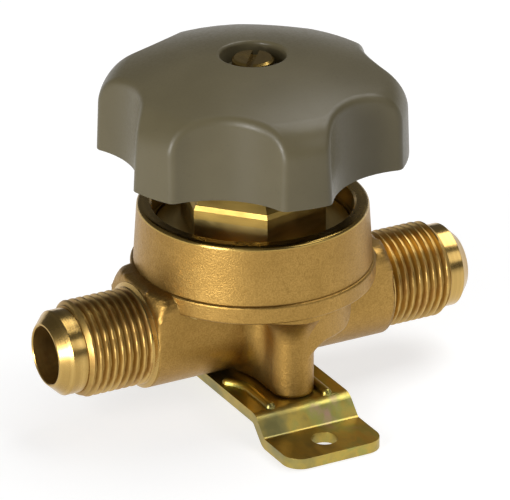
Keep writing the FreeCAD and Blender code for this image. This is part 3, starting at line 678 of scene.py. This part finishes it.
def round_edges(piece):
    """Rounds the bracket's sharp edges with modifiers."""
    piece.modifiers.new("join", "WELD").merge_threshold = WELD_MM * MM
    bevel = piece.modifiers.new("round", "BEVEL")
    bevel.width = BRACKET_EDGE_MM * MM
    bevel.segments = BRACKET_EDGE_SEGMENTS
    bevel.limit_method = "ANGLE"
    bevel.angle_limit = math.radians(BRACKET_EDGE_ANGLE)
    piece.modifiers.new("weighted", "WEIGHTED_NORMAL").keep_sharp = True


# Materials of the nodes

forged = forged_brass()
turned_port = turned_brass("port_brass", "X")
turned_thread = turned_brass("thread_brass", "X", roughness=0.34, groove_r_mm=THREAD_SHADE_R_MM)
turned_axis = turned_brass("turned_brass_parts", "Z", dark=PARTS_DARK, light=PARTS_LIGHT)
bonnet_brass = turned_brass("bonnet_brass", "Z", dark=BONNET_DARK, light=BONNET_LIGHT, roughness=0.33,
                            painted_shade=0.25)
hexagon_brass = turned_brass("hexagon_brass", "Z", dark=HEXAGON_DARK, light=HEXAGON_LIGHT, roughness=0.42,
                             painted_shade=0.25)
plastic = wheel_plastic()
zinc = zinc_steel()
stainless = plain_metal("stainless_parts", STAINLESS_DARK, STAINLESS_LIGHT, 0.22)
spring_steel = plain_metal("spring_wire_steel", WIRE_DARK, WIRE_LIGHT, 0.30)
ball_steel = plain_metal("ball_steel", BALL_DARK, BALL_LIGHT, 0.08)
rubber = plain_soft("dust_ring_black", RUBBER_DARK, RUBBER_LIGHT, 0.60)
polymer = plain_soft("seal_white", POLYMER_DARK, POLYMER_LIGHT, 0.38)

painted = (
    (bonnet_brass, ("bonnet",)),
    (turned_axis, ("clamp_ring", "pressure_shoe", "spindle", "valve_disc", "seal_retainer", "retainer_screw",
                   "wheel_screw")),
    (plastic, ("handwheel",)),
    (zinc, ("mounting_bracket", "bracket_screws", "spring_washers")),
    (ball_steel, ("thrust_ball",)),
    (spring_steel, ("opening_spring",)),
    (stainless, ("spring_seat", "lower_diaphragm", "middle_diaphragm", "upper_diaphragm")),
    (rubber, ("dust_ring",)),
    (polymer, ("seal_ring",)),
)
for material, names in painted:
    for name in names:
        paint(nodes[name], material)


# Pieces

# The order in which the forging and the flare ends are given their materials
SKIN, PASSAGE, CUP_INSIDE, RIM = range(4)
THREADED, PLAIN = range(2)


def forging_finish(point):
    """Which of its materials the forging has at a point."""
    if point.z > RIM_FROM_MM * MM and from_axis(point) > CUP_INNER_R_MM:
        return RIM
    if point.z > CUP_FLOOR_MM * MM and from_axis(point) < CUP_INNER_R_MM:
        return CUP_INSIDE
    if from_port(point) < PASSAGE_FINISH_R_MM:
        return PASSAGE
    return SKIN


forged_body = forging()
paint(forged_body, forged, turned_port, bonnet_brass, turned_axis)
for face in forged_body.data.polygons:
    face.material_index = forging_finish(face.center)
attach(forged_body, "housing")
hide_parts("valve_body")

for name, side in (("inlet_flare", -1), ("outlet_flare", 1)):
    end = flare_end(name, side)
    paint(end, turned_thread, turned_port)
    for face in end.data.polygons:
        threaded = THREAD_FOOT_MM < abs(face.center.x) / MM < THREAD_END_MM
        face.material_index = THREADED if threaded else PLAIN
    shade(end, FLARE_CREASE_ANGLE)
    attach(end, "housing")
    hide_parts("valve_body")

hex_rim = hexagon_rim("bonnet_hex_rim")
paint(hex_rim, hexagon_brass)
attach(hex_rim, "housing")

for name, slot, joint, floor_mm, keep in FLEXING:
    piece = place(name + "_flexing", nodes[name].data.copy())
    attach(piece, "housing")
    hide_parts(name)
    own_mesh(piece)

round_edges(nodes["mounting_bracket"])


# Studio

def direction(azimuth, elevation):
    """Unit vector from the object towards a viewer at this azimuth and elevation."""
    a = math.radians(azimuth)
    e = math.radians(elevation)
    return Vector((math.sin(a) * math.cos(e), -math.cos(a) * math.cos(e), math.sin(e)))


def lamp(name, azimuth, elevation, distance, width, height, radiance):
    """Soft box that faces the object."""
    data = bpy.data.lights.new(name, "AREA")
    data.shape = "RECTANGLE"
    data.size = width
    data.size_y = height
    data.energy = radiance * math.pi * width * height
    made = place(name, data)
    towards = direction(azimuth, elevation)
    made.location = Vector((0, 0, LAMP_AIM_HEIGHT)) + towards * distance
    made.rotation_euler = towards.to_track_quat("Z", "Y").to_euler()
    made.visible_camera = False


def seen_directly(tree):
    """1 for rays from the camera and for those that mirror or pass through something."""
    path = add(tree, "ShaderNodeLightPath")
    seen = maths(tree, "MAXIMUM", path.outputs["Is Camera Ray"], path.outputs["Is Glossy Ray"])
    return maths(tree, "MAXIMUM", seen, path.outputs["Is Transmission Ray"])


def white_surface():
    """Pale matt white that shows as white and keeps shadows."""
    material = bpy.data.materials.new("studio_white")
    material.use_nodes = True
    tree = material.node_tree
    tree.nodes.clear()
    lit = add(tree, "ShaderNodeBsdfDiffuse", {"Color": rgb(SEEN_GREY, SEEN_GREY, SEEN_GREY)})
    glow = add(tree, "ShaderNodeEmission", {"Color": rgb(1, 1, 1), "Strength": SEEN_GLOW})
    shown = add(tree, "ShaderNodeAddShader", {0: lit.outputs[0], 1: glow.outputs[0]})
    bounce = add(tree, "ShaderNodeBsdfDiffuse", {"Color": rgb(BOUNCE_GREY, BOUNCE_GREY, BOUNCE_GREY)})
    both = add(tree, "ShaderNodeMixShader",
               {0: seen_directly(tree), 1: bounce.outputs[0], 2: shown.outputs[0]})
    add(tree, "ShaderNodeOutputMaterial", {"Surface": both.outputs[0]})
    return material


def stage_piece(name, points, faces, material):
    """Part of the studio, which isn't part of the object."""
    mesh = bpy.data.meshes.new(name)
    mesh.from_pydata(points, [], faces)
    mesh.materials.append(material)
    place(name, mesh)


def studio_room():
    """White floor with a low white wall round it, and a plain grey world above."""
    white = white_surface()
    angles = [2 * math.pi * step / ROOM_SIDES for step in range(ROOM_SIDES)]
    foot = [(ROOM_RADIUS * math.cos(angle), ROOM_RADIUS * math.sin(angle), FLOOR_LEVEL) for angle in angles]
    top = [(x, y, WALL_HEIGHT) for x, y, _ in foot]
    walls = []
    for step in range(ROOM_SIDES):
        far = (step + 1) % ROOM_SIDES
        walls.append((step, ROOM_SIDES + step, ROOM_SIDES + far, far))
    stage_piece("floor", foot, [tuple(range(ROOM_SIDES))], white)
    stage_piece("backdrop", foot + top, walls, white)
    world = bpy.data.worlds.new("studio")
    bpy.context.scene.world = world
    world.use_nodes = True
    tree = world.node_tree
    tree.nodes.clear()
    fill = add(tree, "ShaderNodeBackground", {"Color": rgb(1, 1, 1), "Strength": WORLD_LIGHT})
    add(tree, "ShaderNodeOutputWorld", {"Surface": fill.outputs[0]})


studio_room()
for values in LAMPS:
    lamp(*values)

camera_data = bpy.data.cameras.new("camera")
camera_data.lens = CAMERA_LENS
camera_data.sensor_width = CAMERA_SENSOR
camera_data.clip_start, camera_data.clip_end = CAMERA_CLIP
camera = place("camera", camera_data)
camera.location = CAMERA_AT
camera.rotation_euler = (Vector(CAMERA_AT) - Vector(CAMERA_AIM)).to_track_quat("Z", "Y").to_euler()
bpy.context.scene.camera = camera
bpy.context.scene.view_settings.view_transform = "Standard"
